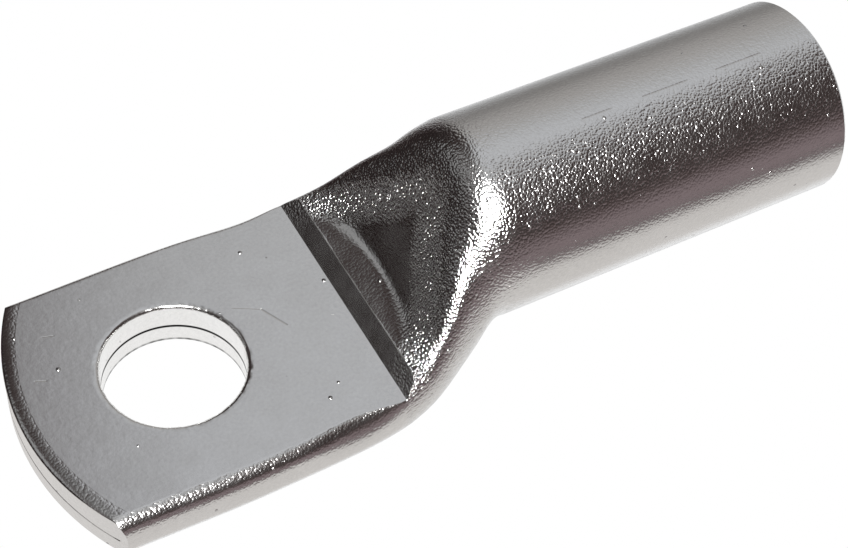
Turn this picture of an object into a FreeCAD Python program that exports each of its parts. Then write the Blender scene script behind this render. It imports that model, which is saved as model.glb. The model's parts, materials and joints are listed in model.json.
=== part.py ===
import FreeCAD, Part
import os

from FreeCAD import Placement, Rotation, Vector
import Sketcher

# Tubular compression cable lug, in millimetres.
# One length of copper tube: the +X end stays round as the barrel, and the other end is pressed
# flat into the palm. +Z is up, and the lug is symmetric about the plane Y = 0.
# The origin is the centre of the stud hole on the palm's underside.

DOC = FreeCAD.newDocument("CableLug")

# Driving dimensions.
SIZES = (
    ("tube_radius", 9.5),
    ("bore_radius", 6.75),
    ("barrel_start", 30.0),
    ("barrel_end", 65.0),
    ("axis_height", 10.0),
    ("mouth_bevel", 0.6),
    ("mouth_break", 0.3),
    ("palm_thickness", 5.0),
    ("palm_front", 14.25),
    ("front_arc_radius", 24.5),
    ("front_roll", 1.2),
    ("front_foot", 0.4),
    ("stud_hole_radius", 6.5),
    ("rim_break", 0.2),
    ("ramp_start", 16.6),
    ("ramp_run", 1.3),
    ("ramp_rise", 1.4),
    ("seam_height", 2.2),
    ("seam_gap", 0.2),
    ("seam_depth", 0.35),
    ("seam_half_angle", 32.0),
    ("blank_angle", 100.0),
    ("press_reach", 40.0),
)

# Stations of the outer skin along X, before the dies press it flat: half width, underside,
# height of the widest point, crown, squareness of the sides, of the crown and of the belly
# (1 is round, less is squarer), and how deep the crown is dished along the middle.
STATION_FIELDS = ("place", "half", "base", "waist", "crown", "side", "top", "belly", "dish")
SKIN_STATIONS = (
    (-15.5, 13.65, -0.3, 2.4, 6.3, 0.30, 1.00, 0.40, 0.0),
    (-8.0, 13.6, -0.3, 2.4, 6.3, 0.30, 1.00, 0.40, 0.0),
    (-0.5, 13.75, -0.3, 2.4, 6.3, 0.30, 1.00, 0.40, 0.0),
    (8.0, 13.6, -0.3, 2.4, 6.3, 0.30, 1.00, 0.40, 0.0),
    (13.0, 13.35, -0.3, 2.4, 6.3, 0.30, 1.00, 0.40, 0.0),
    (16.6, 12.95, -0.3, 2.85, 6.65, 0.30, 0.60, 0.40, 0.1),
    (20.5, 12.0, -0.2, 3.7, 9.7, 0.55, 0.52, 0.48, 2.0),
    (23.5, 10.75, -0.05, 5.4, 14.6, 0.80, 0.70, 0.62, 1.6),
    (26.0, 9.8, 0.2, 8.0, 17.6, 0.93, 0.95, 0.75, 0.8),
    (27.0, 9.55, 0.35, 9.4, 18.7, 0.98, 1.05, 0.90, 0.5),
    (27.9, 9.45, 0.47, 9.9, 19.2, 1.00, 1.05, 1.00, 0.2),
    (29.2, 9.5, 0.5, 10.0, 19.5, 1.00, 1.00, 1.00, 0.0),
)

# Stations of the cavity, from the slit where the tube is pinched shut to the round bore.
CAVITY_STATIONS = (
    (17.8, 10.0, 2.1, 2.2, 2.4, 0.80, 0.80, 0.80, 0.0),
    (20.5, 9.5, 2.4, 3.3, 5.0, 0.80, 0.90, 0.80, 0.6),
    (23.5, 8.4, 2.75, 5.6, 10.4, 0.85, 0.90, 0.85, 0.8),
    (26.0, 7.2, 2.9, 8.2, 14.8, 0.95, 0.95, 0.90, 0.6),
    (27.9, 6.8, 3.15, 9.8, 16.5, 1.0, 1.0, 1.0, 0.2),
    (29.2, 6.75, 3.25, 10.0, 16.75, 1.0, 1.0, 1.0, 0.0),
)

# Every outline has this many poles, an equal step apart round the ring.
POLES = 16
QUARTER = POLES // 4
STEP = "%.1f deg" % (360.0 / POLES)

ALONG = Vector(1, 0, 0)
ACROSS = Vector(0, 1, 0)
UP = Vector(0, 0, 1)
CLOSE = 1e-4
ROUGH_SIZE = 10.0


def fill_sheet(name, rows):
    """Write (alias, value) rows into a new spreadsheet."""
    sheet = DOC.addObject("Spreadsheet::Sheet", name)
    for row, (alias, value) in enumerate(rows, start=1):
        sheet.set("A%d" % row, alias.replace("_", " "))
        sheet.set("B%d" % row, str(value))
        sheet.setAlias("B%d" % row, alias)
    return sheet


def station_rows(stations):
    """Name each station's values, such as half_3."""
    return [("%s_%d" % (field, number), value)
            for number, station in enumerate(stations)
            for field, value in zip(STATION_FIELDS, station)]


SIZE_SHEET = fill_sheet("Sizes", SIZES)
fill_sheet("Skin", station_rows(SKIN_STATIONS))
fill_sheet("Cavity", station_rows(CAVITY_STATIONS))
DOC.recompute()

BODY = DOC.addObject("PartDesign::Body", "cable_lug")
BODY.Label = "cable_lug"
BODY.Placement = Placement(Vector(0, 0, 0), Rotation())


def new_sketch(name, role, offset=None):
    """Start a sketch on one of the body's origin planes, set off along the plane's normal."""
    sketch = BODY.newObject("Sketcher::SketchObject", name)
    plane = next(f for f in BODY.Origin.OriginFeatures if f.Role == role)
    sketch.AttachmentSupport = [(plane, "")]
    sketch.MapMode = "FlatFace"
    if offset:
        sketch.setExpression("AttachmentOffset.Base.z", offset)
    return sketch


def bind(sketch, kind, where, expression, start=1.0):
    """Add a dimension to a sketch and bind it to a formula of the sheets' cells."""
    index = sketch.addConstraint(Sketcher.Constraint(kind, *where, start))
    sketch.setExpression("Constraints[%d]" % index, expression)


def place_point(sketch, where, across, up):
    """Fix a point of the sketch by its distances from the origin."""
    bind(sketch, "DistanceX", (-1, 1) + where, across)
    bind(sketch, "DistanceY", (-1, 1) + where, up)


def pole_formulas(sheet, number):
    """Give the right half's poles, by their place on the ring, as formulas of a station's cells.

    Pole 0 is the widest point, pole 4 the crown and pole -4 the belly. A closed cubic spline runs
    inside its poles, so they are set out by 6 / (4 + 2 c) to put the curve on the stated sizes.
    """
    cell = {field: "%s.%s_%d" % (sheet, field, number) for field in STATION_FIELDS}

    def power(function, index, exponent):
        return "%s(%d * %s) ^ %s" % (function, index, STEP, cell[exponent])

    def set_out(span, end_power):
        return "(%s) * 6 / (4 + 2 * %s)" % (span, end_power)

    reach = set_out(cell["half"], power("cos", 1, "side"))
    rise = set_out("%s - %s" % (cell["crown"], cell["waist"]), power("sin", QUARTER - 1, "top"))
    drop = set_out("%s - %s" % (cell["waist"], cell["base"]), power("sin", QUARTER - 1, "belly"))
    poles = {}
    for index in range(QUARTER + 1):
        across = "%s * %s" % (reach, power("cos", index, "side")) if index < QUARTER else "0"
        dished = {QUARTER: 1.0, QUARTER - 1: 0.5}.get(index, 0.0)
        poles[index] = (across, "%s + %s * %s - %.1f * %s" % (
            cell["waist"], rise, power("sin", index, "top"), dished, cell["dish"]))
        poles[-index] = (across, "%s - %s * %s" % (cell["waist"], drop, power("sin", index, "belly")))
    poles[0] = (reach, cell["waist"])
    return poles


def rough_ring(count):
    """Space points round a circle, as a sketch's shape before its dimensions set it."""
    return [Rotation(UP, 360.0 * number / count).multVec(ALONG * ROUGH_SIZE) for number in range(count)]


def station_sketch(sheet, number):
    """Draw a station's outline as one closed spline whose poles follow the sheet."""
    sketch = new_sketch("%sStation%d" % (sheet, number), "YZ_Plane", "%s.place_%d" % (sheet, number))
    ring = rough_ring(POLES)
    outline = Part.BSplineCurve()
    outline.buildFromPolesMultsKnots(ring[-1:] + ring[:-1], [1] * (POLES + 1),
                                     list(range(POLES + 1)), True, 3)
    curve = sketch.addGeometry(outline)
    sketch.exposeInternalGeometry(curve)
    first = curve + 1
    poles = pole_formulas(sheet, number)
    for index, (across, up) in poles.items():
        right = first + (index + 1) % POLES
        left = first + (POLES // 2 - index + 1) % POLES
        if abs(index) == QUARTER:
            sketch.addConstraint(Sketcher.Constraint("PointOnObject", right, 3, -2))
            bind(sketch, "DistanceY", (-1, 1, right, 3), up)
        else:
            place_point(sketch, (right, 3), across, up)
            sketch.addConstraint(Sketcher.Constraint("Symmetric", right, 3, left, 3, -2))
    return sketch


def circle_sketch(name, role, radii, up=None, offset=None):
    """Draw circles about one centre, at the origin or above it on the upright axis."""
    sketch = new_sketch(name, role, offset)
    circles = [sketch.addGeometry(Part.Circle(ACROSS * ROUGH_SIZE, UP, ROUGH_SIZE + number))
               for number in range(len(radii))]
    centre = (circles[0], 3)
    if up:
        sketch.addConstraint(Sketcher.Constraint("PointOnObject", *centre, -2))
        bind(sketch, "DistanceY", (-1, 1) + centre, up)
    else:
        sketch.addConstraint(Sketcher.Constraint("Coincident", *centre, -1, 1))
    for circle in circles[1:]:
        sketch.addConstraint(Sketcher.Constraint("Coincident", circle, 3, *centre))
    for circle, radius in zip(circles, radii):
        bind(sketch, "Radius", (circle,), radius, ROUGH_SIZE + circle)
    return sketch


def polygon_sketch(name, points, axis_at=None):
    """Draw a closed polygon in the lug's middle plane, its corners given as formulas.

    An upright construction line at axis_at gives the profile an axis to turn about.
    """
    sketch = new_sketch(name, "XZ_Plane")
    ring = rough_ring(len(points))
    lines = [sketch.addGeometry(Part.LineSegment(a, b)) for a, b in zip(ring, ring[1:] + ring[:1])]
    for line, after in zip(lines, lines[1:] + lines[:1]):
        sketch.addConstraint(Sketcher.Constraint("Coincident", line, 2, after, 1))
    for line, (across, up) in zip(lines, points):
        place_point(sketch, (line, 1), across, up)
    if axis_at:
        foot = ALONG * ROUGH_SIZE
        axis = sketch.addGeometry(Part.LineSegment(foot, foot + ACROSS * ROUGH_SIZE), True)
        sketch.addConstraint(Sketcher.Constraint("Vertical", axis))
        sketch.addConstraint(Sketcher.Constraint("PointOnObject", axis, 1, -1))
        bind(sketch, "DistanceX", (-1, 1, axis, 1), axis_at)
        bind(sketch, "DistanceY", (axis, 1, axis, 2), "Sizes.palm_thickness")
    return sketch


def add(kind, name, sketch=None, **settings):
    """Add a feature to the body and make sure that it changed the solid's faces.

    A setting that starts with = is a formula of the sheet's cells.
    """
    faces = len(BODY.Shape.Faces)
    feature = BODY.newObject("PartDesign::" + kind, name)
    if sketch:
        feature.Profile = sketch
    for key, value in settings.items():
        if isinstance(value, str) and value.startswith("="):
            feature.setExpression(key, value[1:])
        else:
            setattr(feature, key, value)
    DOC.recompute()
    print("%-12s %-10s faces %d, volume %.1f" % (name, feature.State[0], len(feature.Shape.Faces),
                                                feature.Shape.Volume))
    if len(feature.Shape.Faces) == faces:
        raise RuntimeError("%s left the solid as it was" % name)
    return feature


def rims(radius, axis, *places):
    """Pick the body's round edges of a radius whose centres lie at the given places of an axis."""
    names = []
    for number, edge in enumerate(BODY.Shape.Edges, start=1):
        curve = edge.Curve
        if isinstance(curve, Part.Circle) and abs(curve.Radius - radius) < CLOSE:
            if any(abs(curve.Center.dot(axis) - place) < CLOSE for place in places):
                names.append("Edge%d" % number)
    return (BODY.Tip, names)


def pressed_form(name, sheet, stations, ring):
    """Skin a sheet's station outlines with one surface and lead it into a true circle.

    Each pole of the outlines runs along X as a cubic spline through its places, so the surface
    follows every station without waves between them.
    """
    sketches = [station_sketch(sheet, number) for number in range(len(stations))]
    DOC.recompute()
    outlines = [sketch.Shape.Edges[0] for sketch in sketches]
    curves = [outline.Curve for outline in outlines]
    tracks = []
    for pole in range(1, POLES + 1):
        track = Part.BSplineCurve()
        track.interpolate(Points=[curve.getPole(pole) for curve in curves],
                          Parameters=[outline.Vertexes[0].X for outline in outlines])
        tracks.append(track)
    net = [list(row) for row in zip(*(track.getPoles() for track in tracks))]
    skin = Part.BSplineSurface()
    skin.buildFromPolesMultsKnots(net, tracks[0].getMultiplicities(), curves[0].getMultiplicities(),
                                  tracks[0].getKnots(), curves[0].getKnots(), False, True, 3, 3)
    lead = Part.makeLoft([Part.Wire([outlines[-1]]), Part.Wire([ring])], False, True)
    caps = [Part.Face(Part.Wire([edge])) for edge in (outlines[0], ring)]
    shell = Part.makeShell([skin.toShape()] + lead.Faces + caps)
    shell.sewShape()
    form = DOC.addObject("Part::Feature", name)
    form.Shape = Part.makeSolid(shell)
    form.Placement = Placement(Vector(0, 0, 0), Rotation())
    return form


def press_neck():
    """Form the tube from the flattened end to the round barrel, with the cavity closing inside."""
    tube = circle_sketch("TubeEnd", "YZ_Plane", ("Sizes.tube_radius", "Sizes.bore_radius"),
                         "Sizes.axis_height", "Sizes.barrel_start")
    DOC.recompute()
    bore, outside = sorted(tube.Shape.Edges, key=lambda edge: edge.Curve.Radius)
    neck = DOC.addObject("Part::Cut", "HollowNeck")
    neck.Base = pressed_form("PressedSkin", "Skin", SKIN_STATIONS, outside)
    neck.Tool = pressed_form("PinchedCavity", "Cavity", CAVITY_STATIONS, bore)
    DOC.recompute()
    BODY.BaseFeature = neck
    DOC.recompute()
    add("Pad", "Barrel", tube, Length="=Sizes.barrel_end - Sizes.barrel_start")


def press_faces():
    """Flatten the palm between the lower plate and the upper die with its steep end ramp."""
    underside = polygon_sketch("LowerPlate", (
        ("-Sizes.press_reach", "0"),
        ("Sizes.barrel_end", "0"),
        ("Sizes.barrel_end", "-Sizes.press_reach"),
        ("-Sizes.press_reach", "-Sizes.press_reach"),
    ))
    add("Pocket", "Underside", underside, Type="ThroughAll", Midplane=True)
    die = polygon_sketch("UpperDie", (
        ("-Sizes.press_reach", "Sizes.palm_thickness"),
        ("Sizes.ramp_start", "Sizes.palm_thickness"),
        ("Sizes.ramp_start + Sizes.ramp_run", "Sizes.palm_thickness + Sizes.ramp_rise"),
        ("Sizes.ramp_start + Sizes.ramp_run", "Sizes.press_reach"),
        ("-Sizes.press_reach", "Sizes.press_reach"),
    ))
    add("Pocket", "PalmFace", die, Type="ThroughAll", Midplane=True)


def blank_front():
    """Blank the palm's front to an arc, with its rolled upper edge and the closed tube's seam."""
    centre = "Sizes.front_arc_radius - Sizes.palm_front"
    front = polygon_sketch("FrontBlank", (
        ("-Sizes.palm_front", "Sizes.front_foot"),
        ("-Sizes.palm_front", "Sizes.palm_thickness + Sizes.front_roll"),
        ("-Sizes.press_reach", "Sizes.palm_thickness + Sizes.front_roll"),
        ("-Sizes.press_reach", "-Sizes.front_foot"),
        ("-Sizes.palm_front + Sizes.front_foot", "-Sizes.front_foot"),
        ("-Sizes.palm_front + Sizes.front_foot", "0"),
    ), centre)
    add("Groove", "FrontArc", front, ReferenceAxis=(front, ["Axis0"]), Midplane=True,
        Angle="=Sizes.blank_angle")
    add("Fillet", "FrontRoll", Radius="=Sizes.front_roll",
        Base=rims(SIZE_SHEET.front_arc_radius, UP, SIZE_SHEET.palm_thickness))
    seam = polygon_sketch("FrontSeamLine", (
        ("-Sizes.palm_front + Sizes.seam_depth", "Sizes.seam_height"),
        ("-Sizes.palm_front", "Sizes.seam_height + Sizes.seam_gap / 2"),
        ("-Sizes.palm_front - Sizes.seam_depth", "Sizes.seam_height"),
        ("-Sizes.palm_front", "Sizes.seam_height - Sizes.seam_gap / 2"),
    ), centre)
    add("Groove", "FrontSeam", seam, ReferenceAxis=(seam, ["Axis0"]), Midplane=True,
        Angle="=2 * Sizes.seam_half_angle")


def pierce_hole():
    """Pierce the stud hole and score the closed tube's seam round its wall."""
    hole = circle_sketch("StudHoleCircle", "XY_Plane", ("Sizes.stud_hole_radius",))
    add("Pocket", "StudHole", hole, Type="ThroughAll", Midplane=True)
    add("Chamfer", "HoleRims", Size="=Sizes.rim_break",
        Base=rims(SIZE_SHEET.stud_hole_radius, UP, 0, SIZE_SHEET.palm_thickness))
    seam = polygon_sketch("HoleSeamLine", (
        ("Sizes.stud_hole_radius + Sizes.seam_depth", "Sizes.seam_height"),
        ("Sizes.stud_hole_radius", "Sizes.seam_height + Sizes.seam_gap / 2"),
        ("Sizes.stud_hole_radius - Sizes.seam_depth", "Sizes.seam_height"),
        ("Sizes.stud_hole_radius", "Sizes.seam_height - Sizes.seam_gap / 2"),
    ))
    add("Groove", "HoleSeam", seam, ReferenceAxis=(seam, ["V_Axis"]), Angle="360")


def finish_mouth():
    """Bevel the barrel's mouth inside for the strands and break its edge outside."""
    add("Chamfer", "MouthBevel", Size="=Sizes.mouth_bevel",
        Base=rims(SIZE_SHEET.bore_radius, ALONG, SIZE_SHEET.barrel_end))
    add("Chamfer", "MouthBreak", Size="=Sizes.mouth_break",
        Base=rims(SIZE_SHEET.tube_radius, ALONG, SIZE_SHEET.barrel_end))


press_neck()
press_faces()
blank_front()
pierce_hole()
finish_mouth()

faulty = [item.Name for item in DOC.Objects if {"Invalid", "Error"} & set(item.State)]
if faulty:
    raise RuntimeError("objects that failed: %s" % faulty)
if BODY.Shape.isNull() or not BODY.Shape.isValid() or len(BODY.Shape.Solids) != 1:
    raise RuntimeError("the lug isn't one valid solid")
print("the lug measures", BODY.Shape.optimalBoundingBox(False))

os.makedirs("parts", exist_ok=True)
BODY.Shape.exportStep("parts/%s.step" % BODY.Label)
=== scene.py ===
import json
import math

import bmesh
import bpy
import numpy as np
from mathutils import Matrix, Vector, noise


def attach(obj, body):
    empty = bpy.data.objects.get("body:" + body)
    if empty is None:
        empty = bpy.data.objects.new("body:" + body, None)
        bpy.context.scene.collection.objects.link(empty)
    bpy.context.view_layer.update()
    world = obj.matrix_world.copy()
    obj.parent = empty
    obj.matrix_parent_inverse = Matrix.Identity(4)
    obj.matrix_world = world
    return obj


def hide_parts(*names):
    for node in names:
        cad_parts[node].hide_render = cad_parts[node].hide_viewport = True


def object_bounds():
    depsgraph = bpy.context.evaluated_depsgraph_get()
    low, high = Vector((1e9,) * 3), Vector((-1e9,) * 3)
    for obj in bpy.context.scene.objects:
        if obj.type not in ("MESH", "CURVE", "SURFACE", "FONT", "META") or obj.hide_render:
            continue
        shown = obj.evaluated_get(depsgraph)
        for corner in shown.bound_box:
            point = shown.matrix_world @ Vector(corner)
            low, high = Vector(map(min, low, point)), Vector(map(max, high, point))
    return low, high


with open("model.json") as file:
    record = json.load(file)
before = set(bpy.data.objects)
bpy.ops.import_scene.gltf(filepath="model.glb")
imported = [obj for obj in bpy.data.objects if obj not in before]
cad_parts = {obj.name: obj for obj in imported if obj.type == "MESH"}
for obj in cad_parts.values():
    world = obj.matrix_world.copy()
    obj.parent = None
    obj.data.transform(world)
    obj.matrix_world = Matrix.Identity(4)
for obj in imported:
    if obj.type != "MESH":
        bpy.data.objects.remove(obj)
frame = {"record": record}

CAD_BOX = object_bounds()

# Shapes are worked out in millimetres and turned into metres as they are built.
MM = 0.001

# Sizes that the frame holds.
MOUNTS = {mount["name"]: mount for mount in frame["record"]["mounts"]}
HOLE_RADIUS = MOUNTS["palm_hole"]["dims"]["r_mm"]
BORE_RADIUS = MOUNTS["barrel_bore"]["dims"]["r_mm"]
AXIS_HEIGHT = MOUNTS["barrel_bore"]["pos_m"][2] / MM
BARREL_END = CAD_BOX[1].x / MM
BARREL_START = MOUNTS["barrel_bore"]["pos_m"][0] / MM - MOUNTS["barrel_bore"]["dims"]["length_mm"]
PALM_TOP = MOUNTS["palm_top"]["pos_m"][2] / MM
PALM_FRONT = -CAD_BOX[0].x / MM
TUBE_RADIUS = CAD_BOX[1].z / MM - AXIS_HEIGHT

# The solid's other sizes, as its source has them.
MOUTH_BEVEL = 0.6
MOUTH_BREAK = 0.3
FRONT_ARC_RADIUS = 24.5
FRONT_ROLL = 1.2
FRONT_FOOT = 0.4
RIM_BREAK = 0.2
RAMP_START = 16.6
RAMP_RUN = 1.3
RAMP_RISE = 1.4
SEAM_HEIGHT = 2.2
SEAM_GAP = 0.2
SEAM_DEPTH = 0.35
SEAM_HALF_ANGLE = math.radians(32.0)

# Outlines along X of the skin before the dies flatten it: place, half width, underside, height of
# the widest point, crown, squareness of the sides, crown and belly, and dish along the middle.
SKIN_STATIONS = (
    (-15.5, 13.65, -0.3, 2.4, 6.3, 0.30, 1.00, 0.40, 0.0),
    (-8.0, 13.6, -0.3, 2.4, 6.3, 0.30, 1.00, 0.40, 0.0),
    (-0.5, 13.75, -0.3, 2.4, 6.3, 0.30, 1.00, 0.40, 0.0),
    (8.0, 13.6, -0.3, 2.4, 6.3, 0.30, 1.00, 0.40, 0.0),
    (13.0, 13.35, -0.3, 2.4, 6.3, 0.30, 1.00, 0.40, 0.0),
    (16.6, 12.95, -0.3, 2.85, 6.65, 0.30, 0.60, 0.40, 0.1),
    (20.5, 12.0, -0.2, 3.7, 9.7, 0.55, 0.52, 0.48, 2.0),
    (23.5, 10.75, -0.05, 5.4, 14.6, 0.80, 0.70, 0.62, 1.6),
    (26.0, 9.8, 0.2, 8.0, 17.6, 0.93, 0.95, 0.75, 0.8),
    (27.0, 9.55, 0.35, 9.4, 18.7, 0.98, 1.05, 0.90, 0.5),
    (27.9, 9.45, 0.47, 9.9, 19.2, 1.00, 1.05, 1.00, 0.2),
    (29.2, 9.5, 0.5, 10.0, 19.5, 1.00, 1.00, 1.00, 0.0),
)
CAVITY_STATIONS = (
    (17.8, 10.0, 2.1, 2.2, 2.4, 0.80, 0.80, 0.80, 0.0),
    (20.5, 9.5, 2.4, 3.3, 5.0, 0.80, 0.90, 0.80, 0.6),
    (23.5, 8.4, 2.75, 5.6, 10.4, 0.85, 0.90, 0.85, 0.8),
    (26.0, 7.2, 2.9, 8.2, 14.8, 0.95, 0.95, 0.90, 0.6),
    (27.9, 6.8, 3.15, 9.8, 16.5, 1.0, 1.0, 1.0, 0.2),
    (29.2, 6.75, 3.25, 10.0, 16.75, 1.0, 1.0, 1.0, 0.0),
)
POLES = 16
QUARTER = POLES // 4

# Ring places between which the folds' lower and upper corners are looked for.
LOWEST_CORNER = -QUARTER * 0.98
HIGHEST_CORNER = QUARTER * 0.75

# How deep the front's rolled edge drops in the middle and at the corners, and where it changes.
ROLL_DROP = 0.45
ROLL_DROP_CORNER = 0.2
ROLL_EASE = (6.0, 13.0)

# The three-cornered flat that the die leaves behind the ramp: how high above the ramp it starts,
# its rise, its half width, how deep it may sink below the solid's rounder dish, where it ends, and
# the height above which the crown is pressed.
FLAT_LIP = 0.22
FLAT_RISE = 0.31
FLAT_HALF_WIDTH = 10.0
FLAT_SINK = 0.55
FLAT_END = (22.5, 26.5)
FLAT_FLOOR = AXIS_HEIGHT * 0.6

# How much fuller than the solid's the palm's -Y fold is above its middle, and where that fades.
FOLD_WAIST = 2.4
FOLD_SQUARING = 0.28
FOLD_FADE = (5.0, 16.0)

# The dished middle of the neck's crown, which the die has rubbed smoother than the tube, and the
# ridges beside it, which are the coarsest: places along X, half width, height above which they lie,
# width of the change, the grain in the dish and added on the ridges, how wide that is to each side
# of its middle, and how far inside the dish's border its middle lies.
DISH_REACH = (17.0, 27.0)
DISH_HALF_WIDTH = 11.5
DISH_FLOOR = AXIS_HEIGHT * 0.5
DISH_BORDER = 2.5
DISH_PEEL = 0.25
RIDGE_PEEL = 2.0
RIDGE_REACH = 2.8
RIDGE_INSET = 0.7

# The barrel's coarse grain lies in a band along it: the turns from +Y over the crown between which
# it comes and goes, in degrees, how much of it is left beside the band, and where the neck ends.
GRAIN_COMES = (96.0, 110.0)
GRAIN_GOES = (138.0, 152.0)
GRAIN_CALM = 0.3
GRAIN_START = (26.0, 33.0)

# How much of the grain the other surfaces keep; the folds keep more towards their upper edge.
FOLD_PEEL = 0.3
FOLD_TOP_PEEL = 0.45
FRONT_PEEL = 0.1
ROLL_PEEL = 0.25
RAMP_PEEL = 0.15
UNDER_PEEL = 0.5
BORE_PEEL = 0.3

# How ragged the cut and pinched edges are: the noise's seed, the size of the two waves that move
# them, how far each wave and the edge's own droop go, and the share of it at each edge.
RAGGED_SEED = 1
RAGGED_GRAIN = 0.32
RAGGED_WAVE = 0.95
RAGGED_DEPTH = 0.049
RAGGED_DROP = 0.03
NEAR_WEAR = 1.0
RIM_WEAR = 0.7
CORNER_WEAR = 0.55
FAR_WEAR = 0.3

# How dark the painted shade in the seam's gap on the front is, and the painted shade line along the
# hole's lower rim with its width and the uneven waves round it. The front's seam fades over a share
# of its half angle.
FRONT_SEAM_PAINTED_SHADE = 0.4
SEAM_FADE = 0.08
RIM_SHADE = 0.9
RIM_LINE = 0.16
RIM_UNEVEN = 0.3
RIM_WAVES = (31, 17)

# How finely the surfaces are divided. The folds' columns lie at SIDE_LEVELS on the front face, and
# then at TOP_SHARES of the way up the fold. EDGE_STEPS and RIM_STEPS are how far the flats' close
# rows lie from their outer edge and from the stud hole.
FLAT_COLUMNS = 96
FRONT_COLUMNS = 120
SIDE_LEVELS = (0.7, 1.1, 1.5, 1.85, 2.03, 2.1, 2.15, 2.2, 2.25, 2.3, 2.4, 2.65, 3.0, 3.4, 3.8, 4.2)
TOP_SHARES = (0.9, 0.95, 0.982)
ROLL_ROWS = 8
FRONT_ROWS = 18
PALM_ROWS = 96
FRONT_ZONE_END = -6.0
RAMP_RINGS = 7
NECK_RINGS = 84
NECK_FIRST_STEP = 0.06
BARREL_RINGS = 60
MOUTH_RINGS = 5
BORE_RINGS = 30
CAVITY_RINGS = 40
TOP_ROWS = 26
UNDER_ROWS = 16
WALL_ROWS = (10, 8)
EDGE_STEPS = (0.0, 0.12, 0.3, 0.55, 0.9)
RIM_STEPS = (0.45, 0.16)
WELD_GAP = 0.002
SHARP_ANGLE = math.radians(28.0)

# Steps of the searches, enough for the figures to settle.
FRONT_PASSES = 8
ROLL_HALVINGS = 24
HALVINGS = 40


def smooth(t):
    t = np.clip(t, 0, 1)
    return t * t * (3 - 2 * t)


def eased(value, reach):
    """Go from 0 at the reach's first value to 1 at its second."""
    return smooth((value - reach[0]) / (reach[1] - reach[0]))


def station_poles(half, base, waist, crown, side, top, belly, dish):
    """Place a station's poles round the ring: +Y is 0, the crown 4, -Y 8 and the belly 12."""
    angle = 2 * math.pi / POLES
    reach = half * 6 / (4 + 2 * math.cos(angle) ** side)
    rise = (crown - waist) * 6 / (4 + 2 * math.sin(3 * angle) ** top)
    drop = (waist - base) * 6 / (4 + 2 * math.sin(3 * angle) ** belly)
    sunk = {QUARTER: dish, QUARTER - 1: dish / 2}
    poles = np.zeros((POLES, 2))
    for index in range(QUARTER + 1):
        across = reach * max(math.cos(index * angle), 0.0) ** side if index < QUARTER else 0.0
        upper = waist + rise * math.sin(index * angle) ** top - sunk.get(index, 0.0)
        lower = waist - drop * math.sin(index * angle) ** belly
        poles[index] = (across, upper)
        poles[POLES // 2 - index] = (-across, upper)
        poles[-index % POLES] = (across, lower if index else waist)
        poles[POLES // 2 + index] = (-across, lower if index else waist)
    return poles


class Tracks:
    """The stations' poles, each led along X as a cubic spline."""

    def __init__(self, stations):
        self.places = np.array([station[0] for station in stations])
        self.poles = np.array([station_poles(*station[1:]) for station in stations])
        count = len(stations)
        gaps = np.diff(self.places)[:, None, None]
        rises = np.diff(self.poles, axis=0) / gaps
        matrix = np.zeros((count, count))
        matrix[0, 0] = matrix[-1, -1] = 1
        right = np.zeros_like(self.poles)
        right[0] = self.end_slope(slice(0, 4), self.places[0])
        right[-1] = self.end_slope(slice(-4, None), self.places[-1])
        for row in range(1, count - 1):
            before, after = 1 / gaps[row - 1, 0, 0], 1 / gaps[row, 0, 0]
            matrix[row, row - 1:row + 2] = (before, 2 * (before + after), after)
            right[row] = 3 * (rises[row - 1] * before + rises[row] * after)
        self.slopes = np.linalg.solve(matrix, right.reshape(count, -1)).reshape(self.poles.shape)

    def end_slope(self, four, place):
        """Take the slope at an end from the cubic through the four nearest stations."""
        flat = self.poles[four].reshape(4, -1)
        cubic = np.polyfit(self.places[four] - place, flat, 3)
        return cubic[2].reshape(self.poles.shape[1:])

    def at(self, x):
        """Give the poles at each x."""
        x = np.clip(x, self.places[0], self.places[-1])
        part = np.clip(np.searchsorted(self.places, x, side="right") - 1, 0, len(self.places) - 2)
        gap = (self.places[part + 1] - self.places[part])[..., None, None]
        t = (x - self.places[part])[..., None, None] / gap
        return (self.poles[part] * (1 + 2 * t) * (1 - t) ** 2
                + self.slopes[part] * gap * t * (1 - t) ** 2
                + self.poles[part + 1] * t * t * (3 - 2 * t)
                + self.slopes[part + 1] * gap * t * t * (t - 1))

    def outline(self, x, ring):
        """Give (y, z) on the skin at x and ring place, both arrays of one shape."""
        poles = self.at(x)
        first = np.floor(ring).astype(int)
        t = (ring - first)[..., None]
        near = [np.take_along_axis(poles, ((first + step) % POLES)[..., None, None], -2)[..., 0, :]
                for step in (-1, 0, 1, 2)]
        weights = ((1 - t) ** 3, 3 * t ** 3 - 6 * t ** 2 + 4,
                   -3 * t ** 3 + 3 * t ** 2 + 3 * t + 1, t ** 3)
        point = sum(pole * weight for pole, weight in zip(near, weights)) / 6
        return point[..., 0], point[..., 1]


SKIN = Tracks(SKIN_STATIONS)
CAVITY = Tracks(CAVITY_STATIONS)
ARC_CENTRE = FRONT_ARC_RADIUS - PALM_FRONT


def front_depth(x, y):
    """Distance inward from the blanked front face."""
    return FRONT_ARC_RADIUS - np.hypot(x - ARC_CENTRE, y)


def ceiling(x, y):
    """Height that the upper die leaves: the palm, its rolled front edge and the steep ramp."""
    inside = np.clip(FRONT_ROLL - front_depth(x, y), 0, FRONT_ROLL)
    drop = ROLL_DROP - (ROLL_DROP - ROLL_DROP_CORNER) * eased(np.abs(y), ROLL_EASE)
    roll = PALM_TOP - drop * (1 - np.sqrt(1 - (inside / FRONT_ROLL) ** 2))
    ramp = PALM_TOP + np.clip(x - RAMP_START, 0, RAMP_RUN) * RAMP_RISE / RAMP_RUN
    return np.where(x < 0, roll, ramp)


def floor_height(x, y):
    """Height of the underside: flat, with a small bevel at the front."""
    return np.where(x < 0, np.clip(FRONT_FOOT - front_depth(x, y), 0, FRONT_FOOT), 0.0)


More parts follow.
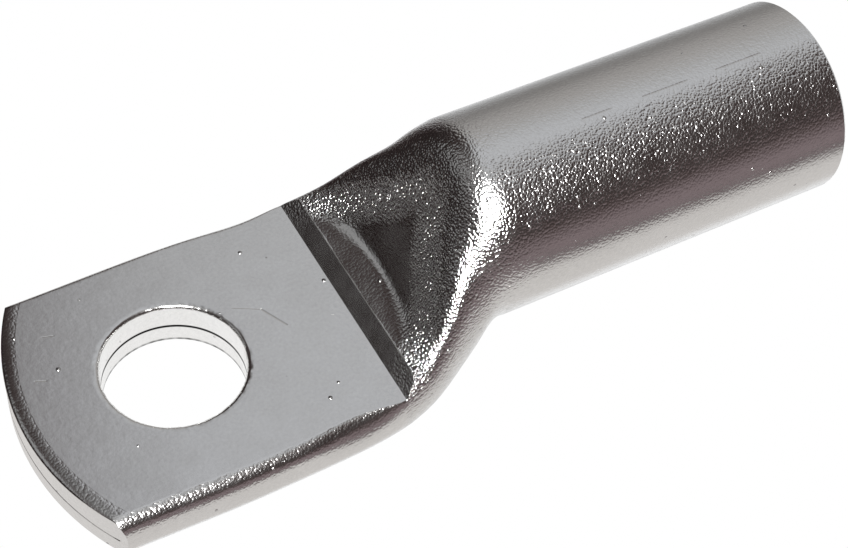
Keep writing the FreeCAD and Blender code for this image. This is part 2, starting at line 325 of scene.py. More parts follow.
def row_place(row, ring):
    """Give (x, y, z) on the uncut skin.

    Row 0 is the front face, row 1 the front zone's end, and each later row is a millimetre on.
    """
    x = np.full(np.broadcast(row, ring).shape, FRONT_ZONE_END)
    for _ in range(FRONT_PASSES):
        y, z = SKIN.outline(x, ring)
        front = ARC_CENTRE - np.sqrt(FRONT_ARC_RADIUS ** 2 - y ** 2)
        x = np.where(row < 1, front + row * (FRONT_ZONE_END - front), FRONT_ZONE_END + row - 1)
    y, z = SKIN.outline(x, ring)
    return x, y, z


def crossing(rows, target, low, high):
    """Find each row's ring place where the skin crosses the target height."""
    low, high = np.full_like(rows, low), np.full_like(rows, high)
    for _ in range(HALVINGS):
        middle = (low + high) / 2
        x, y, z = row_place(rows, middle)
        below = z < target(x, y)
        low, high = np.where(below, middle, low), np.where(below, high, middle)
    return (low + high) / 2


def add_object(name, data):
    made = bpy.data.objects.new(name, data)
    bpy.context.scene.collection.objects.link(made)
    return made


# The third mark is painted shade.
MARKS = ("peel", "wear", "seam")


class Shell:
    """Patches of quads that meet along shared points and are welded into one closed skin.

    Each point carries three marks: peel, how much of the drawn tube's orange-peel grain it has,
    wear, how ragged it is as a cut or pinched edge, and the third, the painted shade that darkens
    its colour in a gap or along the stud hole's lower rim.
    """

    def __init__(self):
        self.points = []
        self.faces = []
        self.marks = []

    def patch(self, grid, closed=False, **marks):
        """Add a grid of points, rows by columns, closed round its columns if asked."""
        rows, columns = grid.shape[:2]
        start = len(self.points)
        self.points.extend(map(tuple, grid.reshape(-1, 3)))
        values = [np.broadcast_to(marks.get(name, 0.0), (rows, columns)) for name in MARKS]
        self.marks.extend(map(tuple, np.stack(values, axis=-1).reshape(-1, len(MARKS))))
        for row in range(rows - 1):
            for column in range(columns if closed else columns - 1):
                a = start + row * columns + column
                b = start + row * columns + (column + 1) % columns
                self.faces.append((a, b, b + columns, a + columns))

    def fan(self, ring):
        """Close a ring of points with triangles from its middle."""
        start = len(self.points)
        self.points.extend(map(tuple, ring))
        self.points.append(tuple(ring.mean(axis=0)))
        self.marks.extend([(0.0,) * len(MARKS)] * (len(ring) + 1))
        for index in range(len(ring)):
            self.faces.append((start + index, start + (index + 1) % len(ring), start + len(ring)))

    def weld(self, name):
        """Make the mesh, its shared points joined, its cut edges ragged and its normals outward."""
        mesh = bpy.data.meshes.new(name)
        mesh.from_pydata([tuple(c * MM for c in point) for point in self.points], [], self.faces)
        cells = np.round(np.array(self.points) / WELD_GAP).astype(int)
        shared = np.unique(cells, axis=0, return_inverse=True)[1].ravel()
        strongest = np.zeros((shared.max() + 1, len(MARKS)))
        np.maximum.at(strongest, shared, np.array(self.marks))
        for number, mark in enumerate(MARKS):
            layer = mesh.attributes.new(mark, "FLOAT", "POINT")
            layer.data.foreach_set("value", strongest[shared, number])
        work = bmesh.new()
        work.from_mesh(mesh)
        bmesh.ops.remove_doubles(work, verts=work.verts, dist=WELD_GAP * MM)
        bmesh.ops.dissolve_degenerate(work, edges=work.edges, dist=WELD_GAP * MM)
        bmesh.ops.recalc_face_normals(work, faces=work.faces)
        wear = work.verts.layers.float["wear"]
        noise.seed_set(RAGGED_SEED)
        for vertex in work.verts:
            if vertex[wear] > 0:
                ragged = (noise.noise_vector(vertex.co / (RAGGED_GRAIN * MM))
                          + noise.noise_vector(vertex.co / (RAGGED_WAVE * MM)))
                move = ragged * RAGGED_DEPTH + Vector((0, 0, -RAGGED_DROP))
                vertex.co += move * vertex[wear] * MM
        open_edges = sum(1 for edge in work.edges if not edge.is_manifold)
        print(name, "faces", len(work.faces), "edges not shared by two faces", open_edges)
        work.to_mesh(mesh)
        work.free()
        return add_object(name, mesh)


def stack(*parts):
    return np.concatenate(parts, axis=0)


def points(x, y, z):
    return np.stack(np.broadcast_arrays(x, y, z), axis=-1)


def mirrored(grid):
    return grid * np.array((1.0, -1.0, 1.0))


def upper_corner(rows):
    """Ring place where each row's skin meets the upper die."""
    return crossing(rows, ceiling, 0.0, HIGHEST_CORNER)


def lower_corner(rows):
    """Ring place where each row's skin meets the lower die."""
    return crossing(rows, floor_height, LOWEST_CORNER, 0.0)


def side_share():
    """Share the side's columns out so that they meet the wanted heights on the front face."""
    row = np.zeros(1)
    low, high = lower_corner(row), upper_corner(row)
    places = [crossing(row, lambda x, y, level=level: np.full_like(x, level), low[0], high[0])
              for level in SIDE_LEVELS]
    share = (np.concatenate(places) - low) / (high - low)
    return np.concatenate([[0.0], share, TOP_SHARES, [1.0]])


# Columns of a whole ring: the +Y side, the top, the -Y side and the underside, one after another.
SIDE_SHARE = side_share()
SIDE_COLUMNS = len(SIDE_SHARE) - 1
TOP_END = SIDE_COLUMNS + FLAT_COLUMNS
UNDER_START = TOP_END + SIDE_COLUMNS


def ring_places(top, bottom):
    """Ring places of a whole ring whose +Y corners are at these upper and lower places."""
    side = bottom + SIDE_SHARE * (top - bottom)
    over = np.linspace(top, POLES / 2 - top, FLAT_COLUMNS + 1)
    under = np.linspace(POLES / 2 - bottom, POLES + bottom, FLAT_COLUMNS + 1)
    return np.concatenate([side[:-1], over[:-1], (POLES / 2 - side[::-1])[:-1], under[:-1]])


def palm_rows():
    """Rows of the palm's folded sides, from the front roll's own ones to the ramp's foot."""
    depths = FRONT_ROLL * (1 - np.cos(np.linspace(0, math.pi / 2, ROLL_ROWS + 1)))
    low, high = np.zeros_like(depths), np.ones_like(depths)
    for _ in range(ROLL_HALVINGS):
        middle = (low + high) / 2
        x, y, z = row_place(middle, upper_corner(middle))
        short = front_depth(x, y) < depths
        low, high = np.where(short, middle, low), np.where(short, high, middle)
    roll = (low + high) / 2
    roll[0] = 0.0
    near = np.linspace(roll[-1], 1, FRONT_ROWS + 1)[1:]
    far = 1 + np.linspace(0, RAMP_START - FRONT_ZONE_END, PALM_ROWS + 1)[1:]
    return np.concatenate([roll, near, far])


def side_grid(rows):
    """Points of the +Y fold, row by row, from the underside's edge to the top's edge."""
    bottoms = lower_corner(rows)[:, None]
    ring = bottoms + SIDE_SHARE[None] * (upper_corner(rows)[:, None] - bottoms)
    return points(*row_place(rows[:, None] + 0 * ring, ring))


def fuller(side):
    """Fill a fold out above its middle, between its widest line and its upper edge."""
    x, y, z = np.moveaxis(side, -1, 0)
    share = np.clip((z - FOLD_WAIST) / (z[:, -1:] - FOLD_WAIST), 0, 1)
    hump = share ** 3 * (1 - share) * 256 / 27  # 1 at its top, three quarters of the way up
    return points(x, y + FOLD_SQUARING * hump * (1 - eased(x, FOLD_FADE)), z)


def flat_fill(loop, hole, height, steps):
    """Fill between an outer loop and the hole's rim, with close rows along both."""
    reach = np.hypot(*(loop - hole)[:, :2].T)[None]
    near = np.array(EDGE_STEPS)[:, None] / reach
    last = 1 - np.array(RIM_STEPS)[:, None] / reach
    rest = np.linspace(0, 1, steps + 1)[1:-1, None]
    share = stack(near, near[-1:] + rest * (last[:1] - near[-1:]), last, np.ones_like(reach))
    flat = loop[None, :, :2] + share[..., None] * (hole - loop)[None, :, :2]
    filled = points(flat[..., 0], flat[..., 1], height(flat[..., 0], flat[..., 1]))
    filled[0] = loop
    filled[-1] = hole
    return filled


def circle(angles, radius, height):
    return points(radius * np.cos(angles), radius * np.sin(angles), height)


def front_band(side_edge, height):
    """Points of the roll or the foot bevel along the front, between the two folds' edges."""
    spread = np.linspace(1, -1, FRONT_COLUMNS + 1)
    end_angle = np.arctan2(side_edge[:, 1], ARC_CENTRE - side_edge[:, 0])
    radius = (FRONT_ARC_RADIUS - front_depth(side_edge[:, 0], side_edge[:, 1]))[:, None]
    angle = end_angle[:, None] * spread[None]
    x, y = ARC_CENTRE - radius * np.cos(angle), radius * np.sin(angle)
    band = points(x, y, height(x, y))
    band[:, 0], band[:, -1] = side_edge, mirrored(side_edge)
    return band


def press_flat(tube):
    """Press the three-cornered flat into the neck's crown, behind the ramp."""
    x, y, z = np.moveaxis(tube, -1, 0)
    start = RAMP_START + RAMP_RUN
    flat = PALM_TOP + RAMP_RISE + FLAT_LIP + FLAT_RISE * (x - start)
    sink = FLAT_SINK * np.tanh((z - flat) / FLAT_SINK)
    middle = np.clip(1 - (y / FLAT_HALF_WIDTH) ** 2, 0, 1) ** 2
    along = (x > start) * (1 - eased(x, FLAT_END))
    return points(x, y, np.where(z > FLAT_FLOOR, z - sink * middle * along, z))


def tube_grid():
    """Rings of the tube from the ramp's foot to the mouth, and the ring places of the last."""
    ramp = np.linspace(0, RAMP_RUN, RAMP_RINGS)
    neck_length = BARREL_START - RAMP_START
    neck = RAMP_RUN + np.geomspace(NECK_FIRST_STEP, neck_length - RAMP_RUN, NECK_RINGS)
    barrel = np.linspace(BARREL_START, BARREL_END - MOUTH_BREAK, BARREL_RINGS)[1:] - RAMP_START
    offsets = np.concatenate([ramp, [RAMP_RUN], neck, barrel])
    cut = 1 + RAMP_START + ramp - FRONT_ZONE_END
    cut_tops, cut_bottoms = upper_corner(cut), lower_corner(cut)
    ease = smooth(offsets / neck_length)
    tops = cut_tops[-1] + (QUARTER / 2 - cut_tops[-1]) * ease
    bottoms = cut_bottoms[0] + (-QUARTER / 2 - cut_bottoms[0]) * ease
    tops[:RAMP_RINGS] = cut_tops
    rings = []
    for number, x in enumerate(RAMP_START + offsets):
        around = ring_places(tops[number], bottoms[number])
        if x < SKIN.places[-1]:
            y, z = SKIN.outline(np.full_like(around, x), around)
        else:
            y = TUBE_RADIUS * np.cos(around * 2 * math.pi / POLES)
            z = AXIS_HEIGHT + TUBE_RADIUS * np.sin(around * 2 * math.pi / POLES)
        if number < RAMP_RINGS:
            z = np.minimum(z, ceiling(np.full_like(y, x), y))
        rings.append(points(x, y, np.maximum(z, 0.0)))
    return press_flat(np.array(rings)), around


def dish_grain(tube):
    """Share of the grain on the neck: little in the crown's dish, and more on its ridges."""
    x, y = tube[..., 0], np.abs(tube[..., 1])
    ridge = DISH_HALF_WIDTH * (1 - eased(x, DISH_REACH))
    before = smooth((DISH_REACH[1] - x) / DISH_BORDER) * (tube[..., 2] > DISH_FLOOR)
    inside = smooth((ridge - y) / DISH_BORDER) * before
    beside = np.clip(1 - ((ridge - RIDGE_INSET - y) / RIDGE_REACH) ** 2, 0, 1) * before
    return 1 - (1 - DISH_PEEL) * inside + RIDGE_PEEL * beside


def barrel_grain(tube):
    """Share of the grain on the barrel: all of it along one band, and little beside that."""
    turn = np.degrees(np.arctan2(tube[..., 2] - AXIS_HEIGHT, tube[..., 1]))
    band = eased(turn, GRAIN_COMES) * (1 - eased(turn, GRAIN_GOES))
    return 1 - (1 - GRAIN_CALM) * eased(tube[..., 0], GRAIN_START) * (1 - band)


def add_folds(shell, side, near_side):
    """Add the palm's two folded sides."""
    level = (side[..., 2] - side[..., :1, 2]) / np.ptp(side[..., 2], axis=1)[:, None]
    peel = FOLD_PEEL + (FOLD_TOP_PEEL - FOLD_PEEL) * smooth(level)
    for fold, upper_wear in ((side, FAR_WEAR), (near_side, NEAR_WEAR)):
        wear = np.zeros(side.shape[:2])
        wear[0] = CORNER_WEAR
        wear[:, -1] = upper_wear
        shell.patch(fold, peel=peel, wear=wear)


def add_front(shell, corner, near_corner, roll, foot):
    """Add the blanked front, with the closed tube's seam scored along it, its roll and its foot."""
    spread = np.linspace(1, -1, FRONT_COLUMNS + 1)
    angle = spread[:, None] * np.arctan2(corner[:, 1], ARC_CENTRE - corner[:, 0])[None]
    level = np.broadcast_to(corner[:, 2], angle.shape)
    upper = np.clip((level - SEAM_HEIGHT) / (level[:, -1:] - SEAM_HEIGHT), 0, 1) ** 2
    level = level + (roll[0, :, 2:] - level[:, -1:]) * upper
    slot = np.clip(1 - np.abs(level - SEAM_HEIGHT) / (SEAM_GAP / 2), 0, 1)
    slot = slot * smooth((SEAM_HALF_ANGLE - np.abs(angle)) / (SEAM_HALF_ANGLE * SEAM_FADE))
    radius = FRONT_ARC_RADIUS - SEAM_DEPTH * slot
    front = points(ARC_CENTRE - radius * np.cos(angle), radius * np.sin(angle), level)
    front[:, -1] = roll[0]
    front[0], front[-1] = corner, near_corner
    wear = np.zeros(front.shape[:2])
    wear[[0, -1]] = CORNER_WEAR
    wear[[0, -1], -1] = FAR_WEAR, NEAR_WEAR
    # The seam's scored gap is painted dark as shade, fading out with the gap towards its ends.
    shell.patch(front, peel=FRONT_PEEL, wear=wear, seam=slot * FRONT_SEAM_PAINTED_SHADE)
    wear = np.zeros(roll.shape[:2])
    wear[0, [0, -1]] = CORNER_WEAR
    shell.patch(foot, peel=ROLL_PEEL, wear=wear)
    wear[:, [0, -1]] = FAR_WEAR, NEAR_WEAR
    shell.patch(roll, peel=ROLL_PEEL, wear=wear)


def add_tube(shell, tube):
    """Add the ramp, the neck and the barrel."""
    peel = dish_grain(tube) * barrel_grain(tube)
    peel[:RAMP_RINGS, SIDE_COLUMNS:TOP_END] *= RAMP_PEEL
    peel[:, UNDER_START:] *= UNDER_PEEL
    wear = np.zeros(tube.shape[:2])
    wear[:RAMP_RINGS, SIDE_COLUMNS], wear[:RAMP_RINGS, TOP_END] = FAR_WEAR, NEAR_WEAR
    shell.patch(tube, closed=True, peel=peel, wear=wear)


def add_bore(shell, last_ring, around):
    """Add the mouth, the bore and the cavity that closes behind it."""
    turn = around * 2 * math.pi / POLES
    mouth = np.linspace(TUBE_RADIUS - MOUTH_BREAK, BORE_RADIUS + MOUTH_BEVEL, MOUTH_RINGS)
    bore = np.linspace(BARREL_END - MOUTH_BEVEL, BARREL_START, BORE_RINGS)
    circles = [(BARREL_END, radius) for radius in mouth] + [(x, BORE_RADIUS) for x in bore]
    rings = [last_ring]
    rings += [points(x, radius * np.cos(turn), AXIS_HEIGHT + radius * np.sin(turn))
              for x, radius in circles]
    for x in np.linspace(CAVITY.places[-1], CAVITY.places[0], CAVITY_RINGS):
        rings.append(points(x, *CAVITY.outline(np.full_like(around, x), around)))
    shell.patch(np.array(rings), closed=True, peel=BORE_PEEL)
    shell.fan(rings[-1])


def add_palm(shell, folds, roll, foot, ring):
    """Add the palm's two flats round the stud hole, and the hole's wall with its seam."""
    over = ring[SIDE_COLUMNS:TOP_END + 1]
    under = stack(ring[UNDER_START:], ring[:1])[::-1]

    def loop(column, across, band):
        fold = folds[:, column]
        return stack(fold[:-1], across[:-1], mirrored(fold[::-1])[:-1], band[-1, ::-1][:-1])

    top_loop, low_loop = loop(-1, over, roll), loop(0, under, foot)
    angles = np.arctan2(top_loop[:, 1], top_loop[:, 0])
    upper_rim = circle(angles, HOLE_RADIUS + RIM_BREAK, PALM_TOP)
    lower_rim = circle(angles, HOLE_RADIUS + RIM_BREAK, 0.0)
    upper = flat_fill(top_loop, upper_rim, ceiling, TOP_ROWS)
    near_start = len(folds) - 1 + FLAT_COLUMNS
    wear = np.zeros(upper.shape[:2])
    wear[0, :len(folds)] = FAR_WEAR
    wear[0, near_start:near_start + len(folds)] = NEAR_WEAR
    wear[-1] = RIM_WEAR
    shell.patch(upper, closed=True, wear=wear)
    shell.patch(flat_fill(low_loop, lower_rim, floor_height, UNDER_ROWS), closed=True)

    above, below = WALL_ROWS
    levels = np.concatenate([
        np.linspace(PALM_TOP - RIM_BREAK, SEAM_HEIGHT + SEAM_GAP, above),
        SEAM_HEIGHT + SEAM_GAP / 2 * np.array((1, 0, -1)),
        np.linspace(SEAM_HEIGHT - SEAM_GAP, RIM_BREAK + 2 * RIM_LINE, below),
        (RIM_BREAK + RIM_LINE, RIM_BREAK)])
    sunk = np.where(np.arange(len(levels)) == above + 1, SEAM_DEPTH, 0.0)
    wall = [circle(angles, HOLE_RADIUS + depth, z) for depth, z in zip(sunk, levels)]
    wall = np.array([upper_rim, *wall, lower_rim])
    wear = np.zeros(wall.shape[:2])
    wear[:2] = RIM_WEAR
    waves = np.sin(RIM_WAVES[0] * angles) * np.sin(RIM_WAVES[1] * angles + 1)
    # Painted shade: the seam's gap in the wall and a thin uneven line along the wall's lower rim
    # are painted dark.
    painted_wall_shade = np.zeros(wall.shape[:2])
    painted_wall_shade[above + 1:above + 4] = 1.0
    painted_wall_shade[-3:] = RIM_SHADE * (1 - RIM_UNEVEN + RIM_UNEVEN * waves)
    shell.patch(wall, closed=True, wear=wear, seam=painted_wall_shade)


def build_lug():
    """Make the lug's surface on the solid's own curves, with the small forms named above."""
    shell = Shell()
    side = side_grid(palm_rows())
    near_side = mirrored(fuller(side))
    roll = front_band(side[:ROLL_ROWS + 1, -1], ceiling)
    foot = front_band(side[:ROLL_ROWS + 1, 0], floor_height)
    tube, around = tube_grid()
    add_folds(shell, side, near_side)
    add_front(shell, side[0], near_side[0], roll, foot)
    add_tube(shell, tube)
    add_bore(shell, tube[-1], around)
    add_palm(shell, side[ROLL_ROWS:], roll, foot, tube[0])
    return shell.weld("dressed_lug")


def soften(mesh):
    """Let the ragged edges shade as rounded ones."""
    worn = [mark.value > FAR_WEAR / 2 for mark in mesh.attributes["wear"].data]
    for edge in mesh.edges:
        if edge.use_edge_sharp and all(worn[corner] for corner in edge.vertices):
            edge.use_edge_sharp = False


LUG = build_lug()
LUG.data.shade_smooth()
LUG.data.set_sharp_from_angle(angle=SHARP_ANGLE)
soften(LUG.data)
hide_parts("cable_lug")
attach(LUG, "root")


# Tints of the light, and the tin's own colour.
PLAIN = (1.0, 1.0, 1.0)
COOL = (0.985, 1.0, 1.035)
BEIGE = (1.04, 1.0, 0.965)
MAUVE = (1.22, 0.96, 0.99)
BROWN = (1.32, 0.95, 0.9)
TIN = (0.86, 0.853, 0.843, 1.0)


def seen(level, tint):
    """Linear light that the tin shows as this display grey of 0 to 255, times a tint."""
    value = level / 255.0
    linear = value / 12.92 if value <= 0.04045 else ((value + 0.055) / 1.055) ** 2.4
    return tuple(linear * share / metal for share, metal in zip(tint, TIN)) + (1.0,)


class Nodes:
    """Adds and links nodes of one tree."""

    def __init__(self, tree):
        self.tree = tree
        tree.nodes.clear()

    def add(self, kind, *inputs, **settings):
        node = self.tree.nodes.new("ShaderNode" + kind)
        for key, value in settings.items():
            if key in node.inputs:
                self.feed(node, key, value)
            else:
                setattr(node, key, value)
        for number, value in enumerate(inputs):
            self.feed(node, number, value)
        return node

    def feed(self, node, socket, value):
        if value is None:
            return
        if isinstance(value, bpy.types.NodeSocket):
            self.tree.links.new(value, node.inputs[socket])
        else:
            node.inputs[socket].default_value = value

    def math(self, operation, *inputs):
        return self.add("Math", *inputs, operation=operation).outputs[0]

    def vector(self, operation, *inputs):
        return self.add("VectorMath", *inputs, operation=operation).outputs[0]

    def amount(self, operation, *inputs):
        """Do vector maths whose result is one number."""
        return self.add("VectorMath", *inputs, operation=operation).outputs["Value"]

    def spread(self, value, start, end, low=0.0, high=1.0, kind="LINEAR"):
        """Map a value that runs from start to end onto low to high."""
        node = self.add("MapRange", value, start, end, low, high, interpolation_type=kind)
        return node.outputs[0]

    def mix(self, share, first, second, kind="MIX"):
        return self.add("MixRGB", share, first, second, blend_type=kind).outputs[0]

    def ramp(self, value, stops, interpolation="EASE"):
        node = self.add("ValToRGB", value)
        ramp = node.color_ramp
        ramp.interpolation = interpolation
        while len(ramp.elements) < len(stops):
            ramp.elements.new(0.5)
        for element, (place, colour) in zip(ramp.elements, stops):
            element.position = place
            element.color = colour
        return node.outputs[0]


# What the tin reflects from each elevation, as display greys and their tints: the far side of the
# room, the side behind the camera and the side to the left.
FAR_SIDE = (
    (-90, 235, PLAIN), (-36, 230, PLAIN), (-28, 185, PLAIN), (-16, 152, PLAIN), (-6, 122, BEIGE),
    (0, 116, BEIGE), (6, 126, BEIGE), (14, 143, BEIGE), (30, 155, BEIGE), (45, 168, PLAIN),
    (55, 182, COOL), (70, 186, COOL), (90, 186, COOL))
CAMERA_SIDE = (
    (-90, 200, BEIGE), (-36, 196, BEIGE), (-31, 168, BEIGE), (-27, 60, MAUVE), (-21, 106, MAUVE),
    (-12, 116, MAUVE), (-3, 98, MAUVE), (6, 64, BROWN), (16, 46, BROWN), (30, 40, BROWN),
    (48, 46, BROWN), (56, 74, BROWN), (66, 135, PLAIN), (90, 172, PLAIN))
LEFT_SIDE = (
    (-90, 208, PLAIN), (-44, 206, BEIGE), (-34, 160, BEIGE), (-24, 60, BROWN), (-12, 28, BROWN),
    (4, 26, BROWN), (20, 30, BROWN), (40, 42, BROWN), (54, 48, BROWN), (64, 100, PLAIN),
    (72, 160, PLAIN), (90, 176, PLAIN))

# Where the far side and the left side lie, as compass directions from +Y towards +X, and the
# cosines between which each fades in. The far side also ends at an edge of its own.
FAR_AZIMUTH = 46.0
FAR_FADE = (0.61, 0.82)
EDGE_AZIMUTH = 90.0
EDGE_FADE = (0.12, 0.34)
LEFT_AZIMUTH = -62.0
LEFT_FADE = (0.1, 0.5)

# A pale patch on the left side, which lights the neck's dish, and the angles where it fades in.
PATCH_AZIMUTH = -58.0
PATCH_ELEVATION = 35.0
PATCH_REACH = (20.0, 8.0)
PATCH_GREY = 142

WHITE = (1.0, 1.0, 1.0, 1.0)


def compass(azimuth, elevation=0.0):
    """Turn a compass direction from +Y towards +X, in degrees, into a vector."""
    turn, lift = math.radians(azimuth), math.radians(elevation)
    return math.sin(turn) * math.cos(lift), math.cos(turn) * math.cos(lift), math.sin(lift)


def room():
    """Give the world the soft studio that the tin reflects; the camera sees plain white."""
    world = bpy.data.worlds.new("studio")
    bpy.context.scene.world = world
    world.use_nodes = True
    net = Nodes(world.node_tree)
    view = net.add("TexCoord").outputs["Generated"]
    lift = net.math("ARCSINE", net.add("SeparateXYZ", view).outputs[2])
    place = net.math("ADD", net.math("DIVIDE", lift, math.pi), 0.5)
    level = net.vector("NORMALIZE", net.vector("MULTIPLY", view, (1, 1, 0)))

    def column(stops):
        return net.ramp(place, [((angle + 90) / 180, seen(grey, tint))
                                for angle, grey, tint in stops])

    def toward(direction, axis, start, end):
        """Weight that grows to 1 where a direction nears an axis, by the cosine between them."""
        share = net.amount("DOT_PRODUCT", direction, axis)
        return net.spread(share, start, end, kind="SMOOTHSTEP")

    reach = [math.cos(math.radians(angle)) for angle in PATCH_REACH]
    patch = toward(view, compass(PATCH_AZIMUTH, PATCH_ELEVATION), *reach)
    left = net.mix(patch, column(LEFT_SIDE), seen(PATCH_GREY, PLAIN))
    near = net.mix(toward(level, compass(LEFT_AZIMUTH), *LEFT_FADE), column(CAMERA_SIDE), left)
    far = net.math("MULTIPLY", toward(level, compass(FAR_AZIMUTH), *FAR_FADE),
                   toward(level, compass(EDGE_AZIMUTH), *EDGE_FADE))
    colour = net.mix(far, near, column(FAR_SIDE))
    colour = net.mix(net.add("LightPath").outputs["Is Camera Ray"], colour, WHITE)
    net.add("OutputWorld", net.add("Background", colour).outputs[0])


# The lamp, in metres and watts.
LAMP_DISTANCE = 0.6
LAMP_SIZE = 0.28
LAMP_POWER = 4.6
LAMP_AIM = Vector((0.028, -0.003, 0.016))


def lamp():
    """Hang a square soft light behind the camera, for the glints on the grain."""
    data = bpy.data.lights.new("lamp", "AREA")
    data.size = LAMP_SIZE
    data.energy = LAMP_POWER
    light = add_object("lamp", data)
    back = toward_camera()
    light.location = LAMP_AIM + back * LAMP_DISTANCE
    light.rotation_euler = back.to_track_quat("Z", "Y").to_euler()
    light.visible_camera = False


# The floor and the card, in millimetres.
FLOOR_HALF_WIDTH = 3000.0
CARD_RADIUS = 6.45
CARD_HEIGHT = 0.02
CARD_CORNERS = 48


def floor():
    """Lay the plain white floor under the lug, with a card that lights the stud hole's wall."""
    material = bpy.data.materials.new("white_floor")
    material.use_nodes = True
    net = Nodes(material.node_tree)
    net.add("OutputMaterial", net.add("Emission", WHITE, 1.0).outputs[0])
    quarter_turns = np.arange(4) * math.pi / 2 - math.pi * 3 / 4
    turns = np.linspace(0, 2 * math.pi, CARD_CORNERS, endpoint=False)
    sheets = (("floor", circle(quarter_turns, FLOOR_HALF_WIDTH * math.sqrt(2), 0.0), False),
              ("hole_card", circle(turns, CARD_RADIUS, CARD_HEIGHT), True))
    for name, corners, shows_in_tin in sheets:
        mesh = bpy.data.meshes.new(name)
        mesh.from_pydata((corners * MM).tolist(), [], [range(len(corners))])
        mesh.materials.append(material)
        sheet = add_object(name, mesh)
        sheet.visible_glossy = shows_in_tin


# The camera as fitted to the photograph, in metres, with its lens in millimetres.
CAMERA_AZIMUTH = math.radians(-32.58)
CAMERA_ELEVATION = math.radians(50.74)
CAMERA_ROLL = math.radians(4.96)
CAMERA_DISTANCE = 0.1831
CAMERA_TARGET = Vector((0.02697, 0.00273, 0.0))
CAMERA_LENS = 81.5


def toward_camera():
    return Vector((math.sin(CAMERA_AZIMUTH) * math.cos(CAMERA_ELEVATION),
                   -math.cos(CAMERA_AZIMUTH) * math.cos(CAMERA_ELEVATION),
                   math.sin(CAMERA_ELEVATION)))


def camera():
    """Look from the photograph's place, down on the palm, with the barrel off to the right."""
    data = bpy.data.cameras.new("camera")
    data.lens = CAMERA_LENS
    data.sensor_width = 36.0
    data.clip_start = 0.01
    back = toward_camera()
    right = Vector((math.cos(CAMERA_AZIMUTH), math.sin(CAMERA_AZIMUTH), 0))
    up = back.cross(right)
    turned_right = right * math.cos(CAMERA_ROLL) + up * math.sin(CAMERA_ROLL)
    turned_up = up * math.cos(CAMERA_ROLL) - right * math.sin(CAMERA_ROLL)
    view = add_object("camera", data)
    axes = Matrix((turned_right, turned_up, back)).transposed().to_4x4()
    view.matrix_world = Matrix.Translation(CAMERA_TARGET + back * CAMERA_DISTANCE) @ axes
    bpy.context.scene.camera = view


# The tin's relief: how many grains there are in a millimetre, and heights in millimetres. The domes
# are the peel's bulges, and the draw lines run along X.
DOME_SCALE = 4.2
DOME_HEIGHT = 0.056
DOME_MELT = 0.25
PEEL_SCALE = 5.0
PEEL_HEIGHT = 0.024
DRAW_SCALE = 2.2
DRAW_STRETCH = (0.04, 1.0, 1.0)
DRAW_HEIGHT = 0.006
MOTTLE_SCALE = 1.7
MOTTLE_HEIGHT = 0.008
PIMPLE_SCALE = 0.55
PIMPLE_RADIUS = 0.22
PIMPLE_SMALLEST = 0.02
PIMPLE_STEEPNESS = 0.55
STROKE_DEPTH = 0.02

# The duller tin of wide patches and how much of it shows, the shade of its small flecks, the near
# black of the painted shade in the seam's gaps and along the stud hole's lower rim, and the
# roughness with how many of its clouds there are in a millimetre.
DULL_TIN = (0.78, 0.77, 0.75, 1.0)
DULL_SCALE = 0.12
DULL_SHARE = 0.35
FLECK_SHADE = (0.92, 0.92, 0.92, 1.0)
FLECK_SCALE = 3.2
PAINTED_SHADE_BLACK = (0.01, 0.01, 0.01, 1.0)
ROUGHNESS = (0.17, 0.25)
ROUGHNESS_SCALE = 0.5

# Marks left by handling and by the press: both ends and the width, in millimetres.
STROKES = (
    ((7.3, 3.5, PALM_TOP), (9.6, 2.2, PALM_TOP), 0.07),
    ((9.6, 2.2, PALM_TOP), (10.9, -0.4, PALM_TOP), 0.1),
    ((-9.1, 7.9, PALM_TOP), (-8.1, 7.6, PALM_TOP), 0.08),
    ((-11.4, 3.7, PALM_TOP), (-10.5, 3.3, PALM_TOP), 0.1),
    ((39.6, -1.3, 19.4), (42.6, -1.3, 19.4), 0.09),
    ((46.0, -1.3, 19.4), (50.8, -1.3, 19.4), 0.09),
    ((54.0, -1.3, 19.4), (58.9, -1.3, 19.4), 0.09),
)


def stroke(net, place, start, end, width):
    """Give 1 along a straight scratch, falling to 0 at its width."""
    along = Vector(end) - Vector(start)
    offset = net.vector("SUBTRACT", place, start)
    reach = net.amount("DOT_PRODUCT", offset, tuple(along))
    share = net.add("Clamp", net.math("DIVIDE", reach, along.length_squared)).outputs[0]
    nearest = net.vector("SCALE", tuple(along), None, None, share)
    gap = net.amount("DISTANCE", offset, nearest)
    return net.spread(gap, 0.0, width, 1.0, 0.0, kind="SMOOTHSTEP")


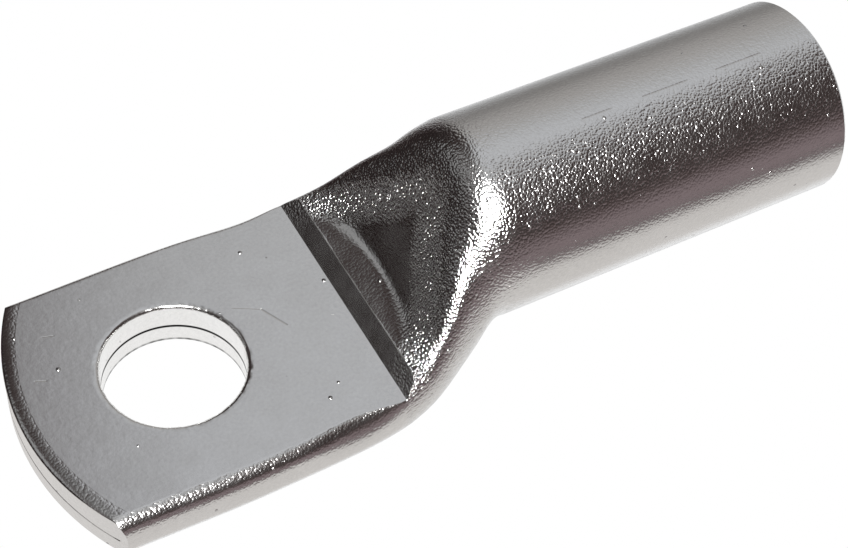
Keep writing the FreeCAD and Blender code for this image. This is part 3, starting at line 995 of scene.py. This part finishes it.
def tin():
    """Bright tin plate, with the drawn tube's grain as far as the peel mark says, and painted shade
    as dark as its mark says.
    """
    material = bpy.data.materials.new("tin_plate")
    material.use_nodes = True
    net = Nodes(material.node_tree)
    place = net.vector("MULTIPLY", net.add("TexCoord").outputs["Object"], (1 / MM,) * 3)
    peel, seam = (net.add("Attribute", attribute_name=name).outputs["Fac"]
                  for name in ("peel", "seam"))

    def grain(scale, detail=1.0, stretch=(1.0, 1.0, 1.0)):
        """Noise from about -0.5 to 0.5, with so many grains in a millimetre."""
        spot = net.vector("MULTIPLY", place, stretch)
        cloud = net.add("TexNoise", spot, Scale=scale, Detail=detail).outputs["Fac"]
        return net.math("SUBTRACT", cloud, 0.5)

    def peeled(shape):
        return net.math("MULTIPLY", shape, peel)

    cell = net.add("TexVoronoi", place, Scale=PIMPLE_SCALE)
    gap = net.math("DIVIDE", cell.outputs["Distance"], PIMPLE_SCALE)
    chance = net.add("SeparateColor", cell.outputs["Color"]).outputs[0]
    size = net.math("MULTIPLY", chance, PIMPLE_RADIUS)
    dome = net.math("SUBTRACT", net.math("MULTIPLY", size, size), net.math("MULTIPLY", gap, gap))
    pimples = net.math("DIVIDE", net.math("MAXIMUM", dome, 0.0),
                       net.math("MAXIMUM", size, PIMPLE_SMALLEST))
    bulges = net.add("TexVoronoi", place, feature="SMOOTH_F1", Scale=DOME_SCALE,
                     Smoothness=DOME_MELT)
    bulges = net.math("POWER", bulges.outputs["Distance"], 2.0)

    relief = [(peeled(bulges), -DOME_HEIGHT), (peeled(grain(PEEL_SCALE)), PEEL_HEIGHT),
              (peeled(grain(DRAW_SCALE, 2.0, DRAW_STRETCH)), DRAW_HEIGHT),
              (grain(MOTTLE_SCALE, 3.0), MOTTLE_HEIGHT), (pimples, PIMPLE_STEEPNESS)]
    relief += [(stroke(net, place, *mark), -STROKE_DEPTH) for mark in STROKES]
    height = 0.0
    for shape, weight in relief:
        height = net.math("MULTIPLY_ADD", shape, weight, height)
    bump = net.add("Bump", Height=height, Strength=1.0, Distance=MM).outputs[0]

    dull = net.spread(grain(DULL_SCALE, 3.0), -0.2, 0.25, 0.0, DULL_SHARE)
    flecks = net.spread(grain(FLECK_SCALE, 2.0), -0.25, 0.25)
    metal = net.mix(flecks, net.mix(dull, TIN, DULL_TIN), FLECK_SHADE, kind="MULTIPLY")
    rough = net.spread(grain(ROUGHNESS_SCALE, 3.0), -0.3, 0.3, *ROUGHNESS)
    shader = net.add("BsdfPrincipled", Metallic=1.0, Roughness=rough, Normal=bump)
    # Painted shade: the colour goes near black as far as the shade mark says.
    net.feed(shader, "Base Color", net.mix(seam, metal, PAINTED_SHADE_BLACK))
    net.add("OutputMaterial", shader.outputs[0])
    return material


LUG.data.materials.append(tin())
room()
floor()
lamp()
camera()
bpy.context.scene.view_settings.view_transform = "Standard"
